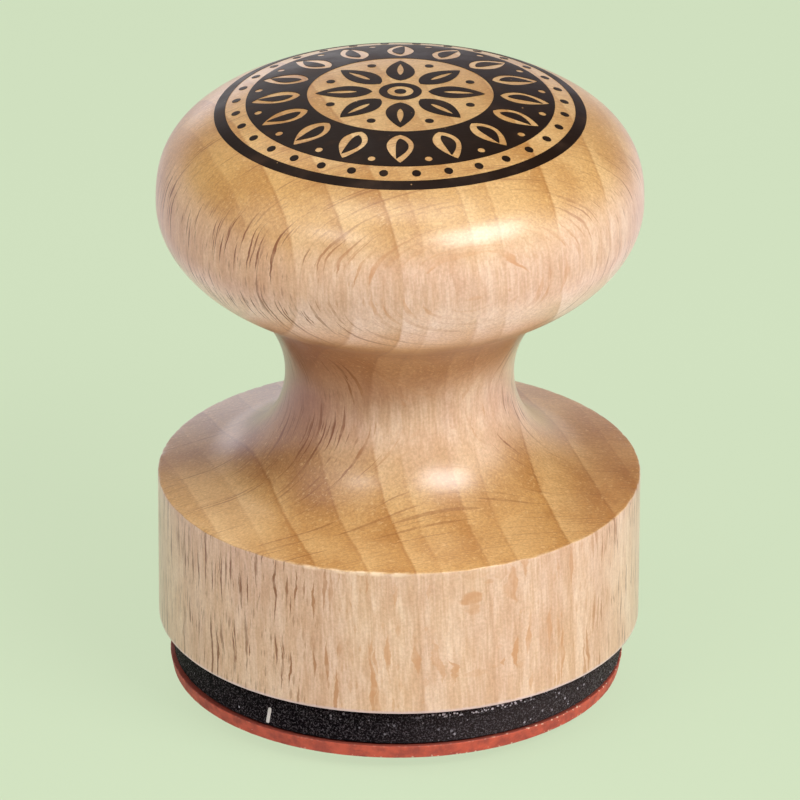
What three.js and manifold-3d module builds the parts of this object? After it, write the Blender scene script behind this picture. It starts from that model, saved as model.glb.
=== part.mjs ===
// A hand stamp: a turned beech handle with a round rubber die under it.
// Millimetres, +Z up. The origin is the centre of the printing face, on the table the stamp stands on.
// From the table up: rubber die, adhesive film, foam cushion, adhesive film, handle.

import * as THREE from "three";
import { mergeVertices } from "three/addons/utils/BufferGeometryUtils.js";
import Module from "manifold-3d";

// Handle: one piece of beech, turned on its grain axis, named from the table up
const BASE_RADIUS = 20.0;
const BASE_HEIGHT = 12.75; // flat underside to the rim
const FOOT_CHAMFER = 0.35; // sanded edge round the underside
const RIM_ROUND = 0.3; // sanded edge round the rim
const FACE_SLOPE = 11; // degrees by which the base's upper face falls towards the rim
const LOWER_HOLLOW = 8.5; // radius of the hollow that lifts the face into the neck
const NECK_RADIUS = 9.45; // at the waist
const THROAT_FLARE = 4.7; // the neck has opened by this where it turns into the knob
const KNOB_RADIUS = 20.0;
const KNOB_UNDER = 10.65; // depth of the ellipse below the knob's widest line
const KNOB_CROWN = 9.55; // rise of the dome above the widest line
const CROWN_FULLNESS = 2.65; // 2 is an ellipse, and more is a flatter dome with fuller shoulders

// Sheet materials, cut to discs
const FILM_THICKNESS = 0.15;
const FILM_INSET = 0.35; // the films end this far inside the foam's edge
const FOAM_THICKNESS = 3.2;
const FOAM_INSET = 1.5; // the handle's edge overhangs the foam by this
const FOAM_BULGE = 0.18; // the cut edge swells by this at half height
const FOAM_EDGE = 0.35; // rounding of the foam's cut edges
const DIE_PROUD = 0.4; // the die reaches past the foam by this
const DIE_FLOOR = 1.2; // rubber left behind the engraving
const DIE_RELIEF = 1.1; // depth of the engraving
const DIE_EDGE = 0.12; // rounding of the die's cut edges
const BARE_MARGIN = 3.7; // bare rubber between the ornament and the die's edge

// Figures of the engraved rosette, as shares of its radius: a rosette is scaled whole
const BORDER = { inner: 0.94, outer: 1.0 };
const BEADS = { count: 32, at: 0.885, radius: 0.024 };
const GARLAND = { count: 16, inner: 0.5, outer: 0.83 };
const GARLAND_LEAF = { from: 0.535, to: 0.8, halfWidth: 0.072 };
const GARLAND_DROP = { from: 0.575, to: 0.765, halfWidth: 0.034, bend: 0.02 };
const GARLAND_EYELET = { at: 0.775, radius: 0.02 };
const FLOWER = { count: 8, from: 0.15, to: 0.455, halfWidth: 0.078 };
const FLOWER_VEIN = { from: 0.23, to: 0.4, halfWidth: 0.017 };
const FLOWER_DOT = { at: 0.405, radius: 0.024 };
const HUB = { inner: 0.07, outer: 0.115 };
const HUB_DOT = { radius: 0.032 };
const LEAF_BELLY = 0.8; // below 1 a leaf is widest nearer its inner end
const LEAF_BLUNT = 0.85; // below 1 its ends are blunter

// Smoothness: steps of a full turn, and of each stretch of a profile or an outline
const TURN_STEPS = 64;
const EDGE_STEPS = 3;
const LOWER_HOLLOW_STEPS = 9;
const UPPER_HOLLOW_STEPS = 7;
const UNDER_STEPS = 10;
const CROWN_STEPS = 15;
const BULGE_STEPS = 4;
const DOT_STEPS = 8;
const LEAF_STEPS = 6;

const wasm = await Module();
wasm.setup();

const radians = (degrees) => (degrees * Math.PI) / 180;
const degrees = (angle) => (angle * 180) / Math.PI;

// Heights of the stack above the table
const dieTop = DIE_RELIEF + DIE_FLOOR;
const foamBottom = dieTop + FILM_THICKNESS;
const foamTop = foamBottom + FOAM_THICKNESS;
const handleBottom = foamTop + FILM_THICKNESS;

// Radii of the discs
const foamRadius = BASE_RADIUS - FOAM_INSET;
const filmRadius = foamRadius - FILM_INSET;
const dieRadius = foamRadius + DIE_PROUD;
const rosetteRadius = dieRadius - BARE_MARGIN;

// A body turned from a profile of [radius, height] pairs that starts and ends on the axis, going up.
function turned(profile) {
  const points = profile.map(([r, z]) => new THREE.Vector2(r, z));
  return new THREE.LatheGeometry(points, TURN_STEPS).rotateX(Math.PI / 2); // the lathe's Y becomes Z
}

// Points of a curve that a function gives for shares from 0 to 1, both ends included.
const sweep = (steps, point) => Array.from({ length: steps + 1 }, (_, i) => point(i / steps));

// Points of an arc about [r, z], from one angle to another in degrees.
function arc(r, z, radius, from, to, steps) {
  return sweep(steps, (share) => {
    const angle = radians(from + (to - from) * share);
    return [r + radius * Math.cos(angle), z + radius * Math.sin(angle)];
  });
}

// The handle's outline, from the underside up. Each stretch leaves the one before it in a smooth
// line, apart from the rim: sloping face, lower hollow, waist, upper hollow, knob.
function handleProfile() {
  const slope = radians(FACE_SLOPE);
  const rimTurn = 90 - FACE_SLOPE;
  const rimHeight = BASE_HEIGHT - RIM_ROUND * Math.tan(radians(rimTurn / 2));
  const rim = arc(BASE_RADIUS - RIM_ROUND, rimHeight, RIM_ROUND, 0, rimTurn, EDGE_STEPS);

  // The lower hollow touches the sloping face and ends upright at the waist
  const faceWidth = BASE_RADIUS - NECK_RADIUS - RIM_ROUND;
  const lower = Math.min(LOWER_HOLLOW, faceWidth / (1 - Math.sin(slope)));
  const faceEnd = NECK_RADIUS + lower * (1 - Math.sin(slope));
  const waist = BASE_HEIGHT + (BASE_RADIUS - faceEnd) * Math.tan(slope) + lower * Math.cos(slope);
  const turnIn = 270 - FACE_SLOPE;
  const lowerHollow = arc(NECK_RADIUS + lower, waist, lower, turnIn, 180, LOWER_HOLLOW_STEPS);

  // The upper hollow ends at the throat, in the direction of the knob's underside there
  const throat = NECK_RADIUS + THROAT_FLARE;
  const underAngle = Math.acos(throat / KNOB_RADIUS);
  const throatTurn = 90 - degrees(Math.atan(KNOB_UNDER / (KNOB_RADIUS * Math.tan(underAngle))));
  const upper = THROAT_FLARE / (1 - Math.cos(radians(throatTurn)));
  const turnOut = 180 - throatTurn;
  const upperHollow = arc(NECK_RADIUS + upper, waist, upper, 180, turnOut, UPPER_HOLLOW_STEPS);

  const throatHeight = waist + upper * Math.sin(radians(throatTurn));
  const equator = throatHeight + KNOB_UNDER * Math.sin(underAngle);
  const underside = sweep(UNDER_STEPS, (share) => {
    const angle = underAngle * (1 - share);
    return [KNOB_RADIUS * Math.cos(angle), equator - KNOB_UNDER * Math.sin(angle)];
  });
  const crown = sweep(CROWN_STEPS, (share) => {
    const angle = (Math.PI / 2) * share;
    const r = share < 1 ? KNOB_RADIUS * Math.cos(angle) ** (2 / CROWN_FULLNESS) : 0;
    return [r, equator + KNOB_CROWN * Math.sin(angle) ** (2 / CROWN_FULLNESS)];
  });

  const foot = [[0, 0], [BASE_RADIUS - FOOT_CHAMFER, 0], [BASE_RADIUS, FOOT_CHAMFER]];
  return [
    ...foot,
    ...rim,
    ...lowerHollow,
    ...upperHollow.slice(1, -1),
    ...underside,
    ...crown.slice(1),
  ];
}

// The outline of a flat disc with rounded edges, whose side swells at half height.
function discProfile(radius, thickness, rounding = 0, bulge = 0) {
  const edge = Math.min(rounding, thickness / 4);
  const side = sweep(bulge > 0 ? BULGE_STEPS : 1, (share) => [
    radius + bulge * Math.sin(Math.PI * share),
    edge + (thickness - 2 * edge) * share,
  ]);
  const below = edge > 0 ? arc(radius - edge, edge, edge, -90, 0, EDGE_STEPS).slice(0, -1) : [];
  const above = edge > 0 ? arc(radius - edge, thickness - edge, edge, 0, 90, EDGE_STEPS).slice(1) : [];
  return [[0, 0], ...below, ...side, ...above, [0, thickness]];
}

// A point of the rosette, from a share of its radius outwards and across, turned to an angle.
const rosettePoint = (out, across, angle) =>
  new THREE.Vector2(out, across).rotateAround(new THREE.Vector2(), angle).multiplyScalar(rosetteRadius);

// The outline of a round figure, counter-clockwise.
const dot = ({ at = 0, radius }, angle = 0, steps = DOT_STEPS) =>
  Array.from({ length: steps }, (_, i) => {
    const turn = (2 * Math.PI * i) / steps;
    return rosettePoint(at + radius * Math.cos(turn), radius * Math.sin(turn), angle);
  });

const circle = (radius) => dot({ radius }, 0, TURN_STEPS);

// The outline of a leaf that points outwards along an angle, counter-clockwise. Its bend moves the
// middle one way and the tip the other, which makes a comma of it.
function leaf({ from, to, halfWidth, bend = 0 }, angle) {
  const edge = (sign, share) => {
    const width = halfWidth * Math.sin(Math.PI * share ** LEAF_BELLY) ** LEAF_BLUNT;
    const curl = bend * (Math.sin(Math.PI * share) - share);
    return rosettePoint(from + (to - from) * share, sign * width + curl, angle);
  };
  const outwards = sweep(LEAF_STEPS, (share) => edge(-1, share)).slice(0, -1);
  const inwards = sweep(LEAF_STEPS, (share) => edge(1, 1 - share)).slice(0, -1);
  return [...outwards, ...inwards];
}

// The outlines of a figure's copies round the axis, shifted by a share of one step.
const around = (count, outline, figure, shift = 0) =>
  Array.from({ length: count }, (_, i) => outline(figure, (2 * Math.PI * (i + shift)) / count));

// A closed geometry as a solid that can be joined and cut.
function solidOf(geometry) {
  const bare = geometry.clone();
  bare.deleteAttribute("normal");
  bare.deleteAttribute("uv");
  const merged = mergeVertices(bare);
  return new wasm.Manifold(
    new wasm.Mesh({
      numProp: 3,
      vertProperties: new Float32Array(merged.attributes.position.array),
      triVerts: new Uint32Array(merged.index.array),
    }),
  );
}

function geometryOf(solid) {
  const mesh = solid.getMesh();
  const geometry = new THREE.BufferGeometry();
  geometry.setAttribute("position", new THREE.BufferAttribute(mesh.vertProperties, 3));
  geometry.setIndex(new THREE.BufferAttribute(mesh.triVerts, 1));
  geometry.computeVertexNormals();
  return geometry;
}

// Upright prisms on outlines, joined into one solid.
function prisms(outlines, bottom, top) {
  const solids = outlines.map((outline) => {
    const shape = new THREE.Shape(outline);
    const prism = new THREE.ExtrudeGeometry(shape, { depth: top - bottom, bevelEnabled: false });
    return solidOf(prism.translate(0, 0, bottom));
  });
  return solids.reduce((joined, solid) => joined.add(solid));
}

// The rosette stands on the table and runs up into the die's floor, where it is fused. Bands and
// petals are pierced first, and the small figures then stand free in their openings.
function rosette() {
  const top = DIE_RELIEF + DIE_FLOOR / 4;
  const raise = (outlines) => prisms(outlines, 0, top);
  const pierce = (outlines) => prisms(outlines, -DIE_RELIEF, top + DIE_RELIEF);
  const band = ({ inner, outer }) => raise([circle(outer)]).subtract(pierce([circle(inner)]));

  const garland = band(GARLAND)
    .subtract(pierce(around(GARLAND.count, leaf, GARLAND_LEAF)))
    .subtract(pierce(around(GARLAND.count, dot, GARLAND_EYELET, 0.5)));
  const petals = raise(around(FLOWER.count, leaf, FLOWER));
  const flower = petals.subtract(pierce(around(FLOWER.count, leaf, FLOWER_VEIN)));
  const small = raise([
    ...around(BEADS.count, dot, BEADS, 0.5),
    ...around(GARLAND.count, leaf, GARLAND_DROP),
    ...around(FLOWER.count, dot, FLOWER_DOT, 0.5),
    dot(HUB_DOT),
  ]);
  return band(BORDER).add(garland).add(flower).add(band(HUB)).add(small);
}

// The die: a disc of rubber whose rosette reaches down from its floor to the table.
function dieGeometry() {
  const floor = turned(discProfile(dieRadius, DIE_FLOOR, DIE_EDGE)).translate(0, 0, DIE_RELIEF);
  return geometryOf(solidOf(floor).add(rosette()));
}

const filmGeometry = () => turned(discProfile(filmRadius, FILM_THICKNESS));
const foamGeometry = () => turned(discProfile(foamRadius, FOAM_THICKNESS, FOAM_EDGE, FOAM_BULGE));
const handleGeometry = () => turned(handleProfile());

const beech = new THREE.MeshStandardMaterial({ color: 0xd3a873, roughness: 0.42, metalness: 0 });
const foam = new THREE.MeshStandardMaterial({ color: 0x1c1a1d, roughness: 0.8, metalness: 0 });
const film = new THREE.MeshStandardMaterial({ color: 0xd9d4c6, roughness: 0.3, metalness: 0 });
const rubber = new THREE.MeshStandardMaterial({ color: 0xb0523f, roughness: 0.6, metalness: 0 });

function piece(name, geometry, material, height) {
  const mesh = new THREE.Mesh(geometry, material);
  mesh.name = name;
  mesh.position.z = height;
  return mesh;
}

const stamp = new THREE.Group();
stamp.add(
  piece("rubber_die", dieGeometry(), rubber, 0),
  piece("die_adhesive_film", filmGeometry(), film, dieTop),
  piece("foam_cushion", foamGeometry(), foam, foamBottom),
  piece("cushion_adhesive_film", filmGeometry(), film, foamTop),
  piece("turned_handle", handleGeometry(), beech, handleBottom),
);

export default stamp;
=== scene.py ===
# %% [markdown]
# # A hand stamp with a turned beech handle
#
# The stamp is a small glued stack: a turned handle, a foam cushion and an engraved rubber die, with
# a black rosette printed on the knob to show what the die prints. The measured model gives every
# size, and this lesson gives the stack its finish: volumetric wood, foam, rubber and ink.

# %% Load the measured model
import math

import bmesh
import bpy
from mathutils import Matrix, Vector, noise


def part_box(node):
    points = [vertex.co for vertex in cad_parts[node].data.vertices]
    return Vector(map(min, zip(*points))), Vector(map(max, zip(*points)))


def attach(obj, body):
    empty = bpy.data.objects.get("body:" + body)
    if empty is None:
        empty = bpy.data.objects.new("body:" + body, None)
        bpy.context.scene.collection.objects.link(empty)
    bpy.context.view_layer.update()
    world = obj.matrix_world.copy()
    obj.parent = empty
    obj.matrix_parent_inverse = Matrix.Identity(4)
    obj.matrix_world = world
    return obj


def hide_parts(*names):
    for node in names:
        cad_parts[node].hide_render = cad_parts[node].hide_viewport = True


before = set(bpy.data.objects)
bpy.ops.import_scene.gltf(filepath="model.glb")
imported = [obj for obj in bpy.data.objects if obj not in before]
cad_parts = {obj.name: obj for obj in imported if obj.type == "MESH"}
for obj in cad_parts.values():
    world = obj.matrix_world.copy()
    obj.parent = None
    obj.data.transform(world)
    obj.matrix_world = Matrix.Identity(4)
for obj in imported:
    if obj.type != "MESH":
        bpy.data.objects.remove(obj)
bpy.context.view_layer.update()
MM = 0.001  # Blender works in metres here, and the sizes below are in millimetres

# %% [markdown]
# ## Sizes taken from the model
#
# The heights and radii of the stack come from the model's own boxes, so the dressed pieces land
# exactly where the measured ones are. The curves of the handle can't be read from a box, so their
# few driving sizes are named again here.

# %% Read the stack's heights and radii


def low_and_high(node):
    low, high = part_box(node)
    return low.z / MM, high.z / MM


def outer_radius(node):
    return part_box(node)[1].x / MM


DIE_LOW, DIE_HIGH = low_and_high("rubber_die")
FOAM_LOW, FOAM_HIGH = low_and_high("foam_cushion")
HANDLE_LOW, HANDLE_HIGH = low_and_high("turned_handle")
BASE_RADIUS = outer_radius("turned_handle")
DIE_RADIUS = outer_radius("rubber_die")
FOAM_REACH = outer_radius("foam_cushion")
print("handle", HANDLE_LOW, HANDLE_HIGH, "foam", FOAM_LOW, FOAM_HIGH, "die", DIE_LOW, DIE_HIGH)

# %% [markdown]
# ## The camera
#
# A product photograph of a small thing is taken from well back with a long lens, which keeps the
# sides nearly parallel. The camera stands 80 cm away and looks down by 25 degrees. It is turned by
# a hair about its own axis, as a hand-set tripod is, so it gets its matrix from three directions.

# %% Set the camera
CAMERA_DISTANCE = 800.0
CAMERA_DOWN = math.radians(24.92)
CAMERA_ROLL = math.radians(-0.18)
AIM_HEIGHT = 24.81
LENS = 435.6  # in the camera's own millimetres, on its 36 mm sensor
SIDE_SHIFT = 0.00075  # share of the picture by which the axis lies left of its middle

forward = Vector((0, math.cos(CAMERA_DOWN), -math.sin(CAMERA_DOWN)))
upright = Vector((0, math.sin(CAMERA_DOWN), math.cos(CAMERA_DOWN)))
sideways = Vector((1, 0, 0))
camera_right = sideways * math.cos(CAMERA_ROLL) - upright * math.sin(CAMERA_ROLL)
camera_up = sideways * math.sin(CAMERA_ROLL) + upright * math.cos(CAMERA_ROLL)

camera = bpy.data.objects.new("camera", bpy.data.cameras.new("camera"))
bpy.context.scene.collection.objects.link(camera)
camera.data.lens = LENS
camera.data.shift_x = SIDE_SHIFT
camera.data.clip_start, camera.data.clip_end = 0.05, 20.0
turn = Matrix((camera_right, camera_up, -forward)).transposed().to_4x4()
place = (Vector((0, 0, AIM_HEIGHT)) - forward * CAMERA_DISTANCE) * MM
camera.matrix_world = Matrix.Translation(place) @ turn
bpy.context.scene.camera = camera
print("camera stands at", [round(side, 3) for side in place])

# %% [markdown]
# ## A small helper for node trees
#
# Shader nodes can be wired by hand in the editor. In a script every node needs two lines for its
# values and two for its links, which hides the idea. This helper adds a node and sets or links its
# inputs by name in one call, so a material reads from top to bottom like a recipe.

# %% Define the wiring helper


class Wiring:
    """Adds nodes to one tree and wires each as it is made."""

    def __init__(self, tree):
        self.tree = tree

    def put(self, value, socket):
        if isinstance(value, bpy.types.NodeSocket):
            self.tree.links.new(value, socket)
        else:
            socket.default_value = value

    def fill(self, node, inputs):
        for name, value in inputs.items():
            self.put(value, node.inputs[name])
        return node

    def add(self, kind, inputs=(), **settings):
        node = self.tree.nodes.new(kind)
        for name, value in settings.items():
            setattr(node, name, value)
        return self.fill(node, dict(inputs))

    def math(self, operation, first, second=0.0, clamp=False):
        inputs = {0: first, 1: second}
        return self.add("ShaderNodeMath", inputs, operation=operation, use_clamp=clamp).outputs[0]

    def times(self, first, second, clamp=False):
        return self.math("MULTIPLY", first, second, clamp)

    def vector(self, operation, first, second=(0, 0, 0), out="Vector"):
        inputs = {0: first, 1: second}
        return self.add("ShaderNodeVectorMath", inputs, operation=operation).outputs[out]

    def scaled(self, vector, factor):
        inputs = {0: vector, "Scale": factor}
        return self.add("ShaderNodeVectorMath", inputs, operation="SCALE").outputs[0]

    def apart(self, vector):
        return self.add("ShaderNodeSeparateXYZ", {"Vector": vector}).outputs

    def joined(self, **parts):
        return self.add("ShaderNodeCombineXYZ", parts).outputs[0]

    def distance(self, x, y):
        """How far away a point is that lies this far off in two directions."""
        return self.vector("LENGTH", self.joined(X=x, Y=y), out="Value")

    def mix(self, factor, first, second, blend="MIX"):
        inputs = {0: factor, 6: first, 7: second}  # 6 and 7 are the sockets that take colours
        return self.add("ShaderNodeMix", inputs, data_type="RGBA", blend_type=blend).outputs[2]

    def glazed(self, factor, colour, glaze):
        """A colour seen through a tinted glaze."""
        return self.mix(factor, colour, glaze, "MULTIPLY")

    def fade(self, value, low, high, start=0.0, end=1.0):
        """Goes softly from start to end while the value goes from low to high."""
        names = ("Value", "From Min", "From Max", "To Min", "To Max")
        inputs = dict(zip(names, (value, low, high, start, end)))
        node = self.add("ShaderNodeMapRange", inputs, interpolation_type="SMOOTHSTEP")
        return node.outputs["Result"]

    def noise(self, vector, scale=1.0, detail=2.0, roughness=0.5):
        """Soft noise from 0 to 1. A scale of three numbers stretches it."""
        if isinstance(scale, tuple):
            vector, scale = self.vector("MULTIPLY", vector, scale), 1.0
        inputs = {"Vector": vector, "Scale": scale, "Detail": detail, "Roughness": roughness}
        return self.add("ShaderNodeTexNoise", inputs).outputs[0]

    def ramp(self, value, stops):
        node = self.add("ShaderNodeValToRGB", {"Fac": value})
        elements = node.color_ramp.elements
        while len(elements) < len(stops):
            elements.new(0.5)
        for element, (position, level) in zip(elements, stops):
            element.position = position
            element.color = (level, level, level, 1)
        return node.outputs["Color"]

    def bump(self, height, strength, depth):
        """A normal that follows a height. The depth is in millimetres."""
        inputs = {"Height": height, "Strength": strength, "Distance": depth * MM}
        return self.add("ShaderNodeBump", inputs).outputs[0]

    def place(self, group, inputs):
        return self.add("ShaderNodeGroup", inputs, node_tree=group).outputs


print("wiring helper ready")

# %% [markdown]
# ## Groups, materials and colours
#
# An effect that several materials share is a node group, and each finish is a material of its own.
# Both start in the same way every time, so one function opens a group and one a material. Patterns
# are laid out in the object's own millimetres, which stay with a piece wherever it is put. Colours
# are given as they look on the screen, and turned into the linear light that shaders work in.

# %% Define how groups, materials and colours are made


def new_group(name, inputs, outputs):
    """A shader node group with named sockets: its tree, its wiring, its inlet and its outlet."""
    tree = bpy.data.node_groups.new(name, "ShaderNodeTree")
    kinds = {"vector": "NodeSocketVector", "value": "NodeSocketFloat"}
    for label, kind, *start in inputs:
        socket = tree.interface.new_socket(label, in_out="INPUT", socket_type=kinds[kind])
        if start:
            socket.default_value = start[0]
    for label, kind in outputs:
        tree.interface.new_socket(label, in_out="OUTPUT", socket_type=kinds[kind])
    wiring = Wiring(tree)
    inlet = wiring.add("NodeGroupInput").outputs
    outlet = wiring.add("NodeGroupOutput")
    return tree, wiring, inlet, outlet


def new_material(name):
    """A material with its wiring, its Principled shader and the object's own coordinates."""
    material = bpy.data.materials.new(name)
    material.use_nodes = True
    material.node_tree.nodes.clear()
    wiring = Wiring(material.node_tree)
    shader = wiring.add("ShaderNodeBsdfPrincipled")
    wiring.add("ShaderNodeOutputMaterial", {"Surface": shader.outputs[0]})
    coordinates = wiring.add("ShaderNodeTexCoord").outputs
    return material, wiring, shader, coordinates


def in_mm(wiring, coordinates):
    return wiring.scaled(coordinates["Object"], 1 / MM)


def show(wiring, shader):
    """Puts a shader on the material's surface in place of the first one."""
    output = next(node for node in wiring.tree.nodes if node.type == "OUTPUT_MATERIAL")
    wiring.put(shader, output.inputs["Surface"])


def mixed_shaders(wiring, factor, first, second):
    return wiring.add("ShaderNodeMixShader", {0: factor, 1: first, 2: second}).outputs[0]


def srgb(red, green, blue):
    """A colour as it looks on the screen, from 0 to 255, as the linear light that shaders use."""
    levels = [level / 255 for level in (red, green, blue)]
    return (*(v / 12.92 if v <= 0.04045 else ((v + 0.055) / 1.055) ** 2.4 for v in levels), 1.0)


print("groups and materials can be made")

# %% [markdown]
# ## The floor
#
# The stamp stands on a strip of pale green paper, a little wider than the picture, that runs from
# front to back over a neutral table. The paper shows its colour to the camera and to reflections.
# Light that bounces up from it stays neutral, because wood next to real green paper would turn
# greenish. Most of what the camera sees is the paper's own even tone, so the shadow round the foot
# stays soft and pale.

# %% Lay the floor
FLOOR_REACH = 4.0  # metres
FLOOR_DROP = 0.02  # millimetres, so that the die and the floor never share a plane

floor_mesh = bpy.data.meshes.new("floor")
corners = [(x * FLOOR_REACH, y * FLOOR_REACH, 0) for x, y in ((-1, -1), (1, -1), (1, 1), (-1, 1))]
floor_mesh.from_pydata(corners, [], [(0, 1, 2, 3)])
floor = bpy.data.objects.new("floor", floor_mesh)
floor.location.z = -FLOOR_DROP * MM
bpy.context.scene.collection.objects.link(floor)
print("floor reaches", FLOOR_REACH, "m to every side")

# %% Colour the paper
PAPER = srgb(209, 225, 192)
PAPER_BOUNCE = srgb(236, 232, 233)
TABLE = srgb(228, 220, 224)
PAPER_EVEN = 0.88  # share of the paper's tone that no shadow reaches
PAPER_EDGE = (0.041, 0.052)  # metres to the side over which the strip of paper ends
PAPER_END = (0.25, 0.50)  # and to the front and back


def seen_by_the_camera(wiring):
    """1 for a ray that the camera sees straight, in a reflection or through glass, otherwise 0."""
    path = wiring.add("ShaderNodeLightPath").outputs
    seen = wiring.math("MAXIMUM", path["Is Camera Ray"], path["Is Glossy Ray"])
    return wiring.math("MAXIMUM", seen, path["Is Transmission Ray"])


paper, wiring, shader, coordinates = new_material("pale paper")
seen = seen_by_the_camera(wiring)
place = wiring.apart(wiring.vector("ABSOLUTE", coordinates["Object"]))
within = wiring.fade(place["X"], *PAPER_EDGE, start=1.0, end=0.0)
within = wiring.times(within, wiring.fade(place["Y"], *PAPER_END, start=1.0, end=0.0))
tone = wiring.mix(within, TABLE, wiring.mix(seen, PAPER_BOUNCE, PAPER))
wiring.fill(shader, {"Base Color": tone, "Roughness": 0.9, "Specular IOR Level": 0.0})
even = wiring.add("ShaderNodeEmission", {"Color": tone}).outputs[0]
lit = mixed_shaders(wiring, wiring.times(seen, PAPER_EVEN), shader.outputs[0], even)
from_below = wiring.add("ShaderNodeNewGeometry").outputs["Backfacing"]
clear = wiring.add("ShaderNodeBsdfTransparent").outputs[0]
show(wiring, mixed_shaders(wiring, from_below, lit, clear))
floor_mesh.materials.append(paper)
print("paper colour in linear light:", [round(level, 3) for level in PAPER[:3]])

# %% [markdown]
# ## Plain studio light
#
# The lacquer shows where the light came from: a long soft streak high on the right of the knob, a
# fainter one on its left, and pale sheens on the neck and the face. So a broad key lamp hangs on the
# right, a wide weak one and a small one on the left, one overhead, one low on the right, and two
# faint ones reach the back. Each is a rectangle of soft light, described by one row of a table.

# %% Hang the lamps
LAMP_DISTANCE = 0.6
LAMPS = {
    # azimuth and elevation in degrees, width and height in metres, power in watts
    "key": (45, 43, 0.36, 0.20, 3.0),
    "top": (0, 82, 0.44, 0.24, 1.1),
    "side": (82, 20, 0.30, 0.20, 0.5),
    "left": (-66, 46, 0.50, 0.40, 0.72),
    "small": (-36, 46, 0.20, 0.09, 0.5),
    "back": (-165, 47, 0.30, 0.16, 0.18),
    "low": (-168, 9, 0.24, 0.14, 0.14),
}

for name, (azimuth, elevation, width, height, power) in LAMPS.items():
    turn, rise = math.radians(azimuth), math.radians(elevation)  # 0 is in front, 90 on the right
    across = Vector((math.sin(turn), -math.cos(turn), 0)) * math.cos(rise)
    direction = across + Vector((0, 0, math.sin(rise)))
    lamp = bpy.data.objects.new("softbox_" + name, bpy.data.lights.new("softbox_" + name, "AREA"))
    lamp.data.shape = "RECTANGLE"
    lamp.data.size, lamp.data.size_y = width, height
    lamp.data.energy = power
    lamp.location = direction * LAMP_DISTANCE + Vector((0, 0, AIM_HEIGHT * MM))
    lamp.rotation_mode = "QUATERNION"
    lamp.rotation_quaternion = direction.to_track_quat("Z", "Y")
    bpy.context.scene.collection.objects.link(lamp)
print(len(LAMPS), "soft lamps")

# %% [markdown]
# ## The studio's walls
#
# Lacquer also mirrors the room, most of all at a shallow angle. So the camera and reflections see a
# pale wall low down all round, darker towards the right where a curtain hangs, and nothing overhead.
# The room itself gives hardly any light, which leaves the shading to the lamps.

# %% Build the walls
STUDIO_STRENGTH = 0.05
STUDIO_WALL = srgb(244, 236, 246)
STUDIO_WHITE = (1, 1, 1, 1)
WALL_FADE = (0.12, 0.34)  # upward share of a direction over which the pale wall ends
CURTAIN = (0.0, 0.35)  # rightward share of a direction over which the wall gets darker
CURTAIN_TONE = 0.5

studio = bpy.data.worlds.new("studio")
studio.use_nodes = True
studio.node_tree.nodes.clear()
wiring = Wiring(studio.node_tree)
seen = seen_by_the_camera(wiring)
direction = wiring.apart(wiring.add("ShaderNodeTexCoord").outputs["Generated"])
wall = wiring.fade(direction["Z"], *WALL_FADE, start=1.0, end=0.0)
wall = wiring.times(wall, wiring.fade(direction["X"], *CURTAIN, start=1.0, end=CURTAIN_TONE))
strength = wiring.fade(wiring.times(seen, wall), 0, 1, STUDIO_STRENGTH, 1.0)
walls = wiring.mix(seen, STUDIO_WHITE, STUDIO_WALL)
air = wiring.add("ShaderNodeBackground", {"Color": walls, "Strength": strength})
wiring.add("ShaderNodeOutputWorld", {"Surface": air.outputs[0]})
bpy.context.scene.world = studio
bpy.context.scene.view_settings.view_transform = "Standard"
print("studio of strength", STUDIO_STRENGTH)

# %% [markdown]
# ## Turning a profile
#
# The handle, the foam and the die are all round, so each is a profile swept round the axis. A Screw
# modifier would do it, but building the rings directly lets each point be nudged afterwards, for
# the small wobbles that a real edge has.

# %% Define how a piece is turned and finished


def finish_piece(name, mesh, material, aside=0.0):
    """Links a mesh as a smooth piece of the stamp, set aside by a few tenths of a millimetre."""
    piece = bpy.data.objects.new(name, mesh)
    piece.location.x = aside * MM
    bpy.context.scene.collection.objects.link(piece)
    mesh.materials.append(material)
    mesh.shade_smooth()
    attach(piece, "root")
    return piece


def turned_mesh(name, profile, segments, nudge=None):
    """A closed mesh turned from [radius, height] pairs in mm that start and end on the axis."""
    rings, points, faces = profile[1:-1], [], []
    for radius, height in rings:
        for step in range(segments):
            angle = 2 * math.pi * step / segments
            point = Vector((radius * math.cos(angle), radius * math.sin(angle), height))
            points.append((nudge(point) if nudge else point) * MM)
    for ring in range(len(rings) - 1):
        for step in range(segments):
            here, after = ring * segments + step, ring * segments + (step + 1) % segments
            faces.append((here, after, after + segments, here + segments))
    bottom, top = len(points), len(points) + 1
    points += [Vector((0, 0, profile[0][1])) * MM, Vector((0, 0, profile[-1][1])) * MM]
    last = (len(rings) - 1) * segments
    for step in range(segments):
        after = (step + 1) % segments
        faces.append((after, step, bottom))
        faces.append((last + step, last + after, top))
    mesh = bpy.data.meshes.new(name)
    mesh.from_pydata(points, [], faces)
    return mesh


print("pieces can be turned")

# %% Define helpers for outlines


def arc(centre, radius, start, end, steps):
    """Points of an arc about a centre, with its angles in degrees, both ends included."""
    angles = [math.radians(start + (end - start) * i / steps) for i in range(steps + 1)]
    return [(centre[0] + radius * math.cos(a), centre[1] + radius * math.sin(a)) for a in angles]


def spaced(points, longest):
    """The same outline with points added, so that no stretch is longer than a given length."""
    result = [points[0]]
    for (r0, z0), (r1, z1) in zip(points, points[1:]):
        steps = max(1, math.ceil(math.hypot(r1 - r0, z1 - z0) / longest))
        for i in range(1, steps + 1):
            result.append((r0 + (r1 - r0) * i / steps, z0 + (z1 - z0) * i / steps))
    return result


def drawn_in(point, inward, down=0.0):
    """The point moved towards the axis, and down if need be."""
    share = 1 - inward / math.hypot(point.x, point.y)
    return Vector((point.x * share, point.y * share, point.z - down))


print("outlines can be drawn")

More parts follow.
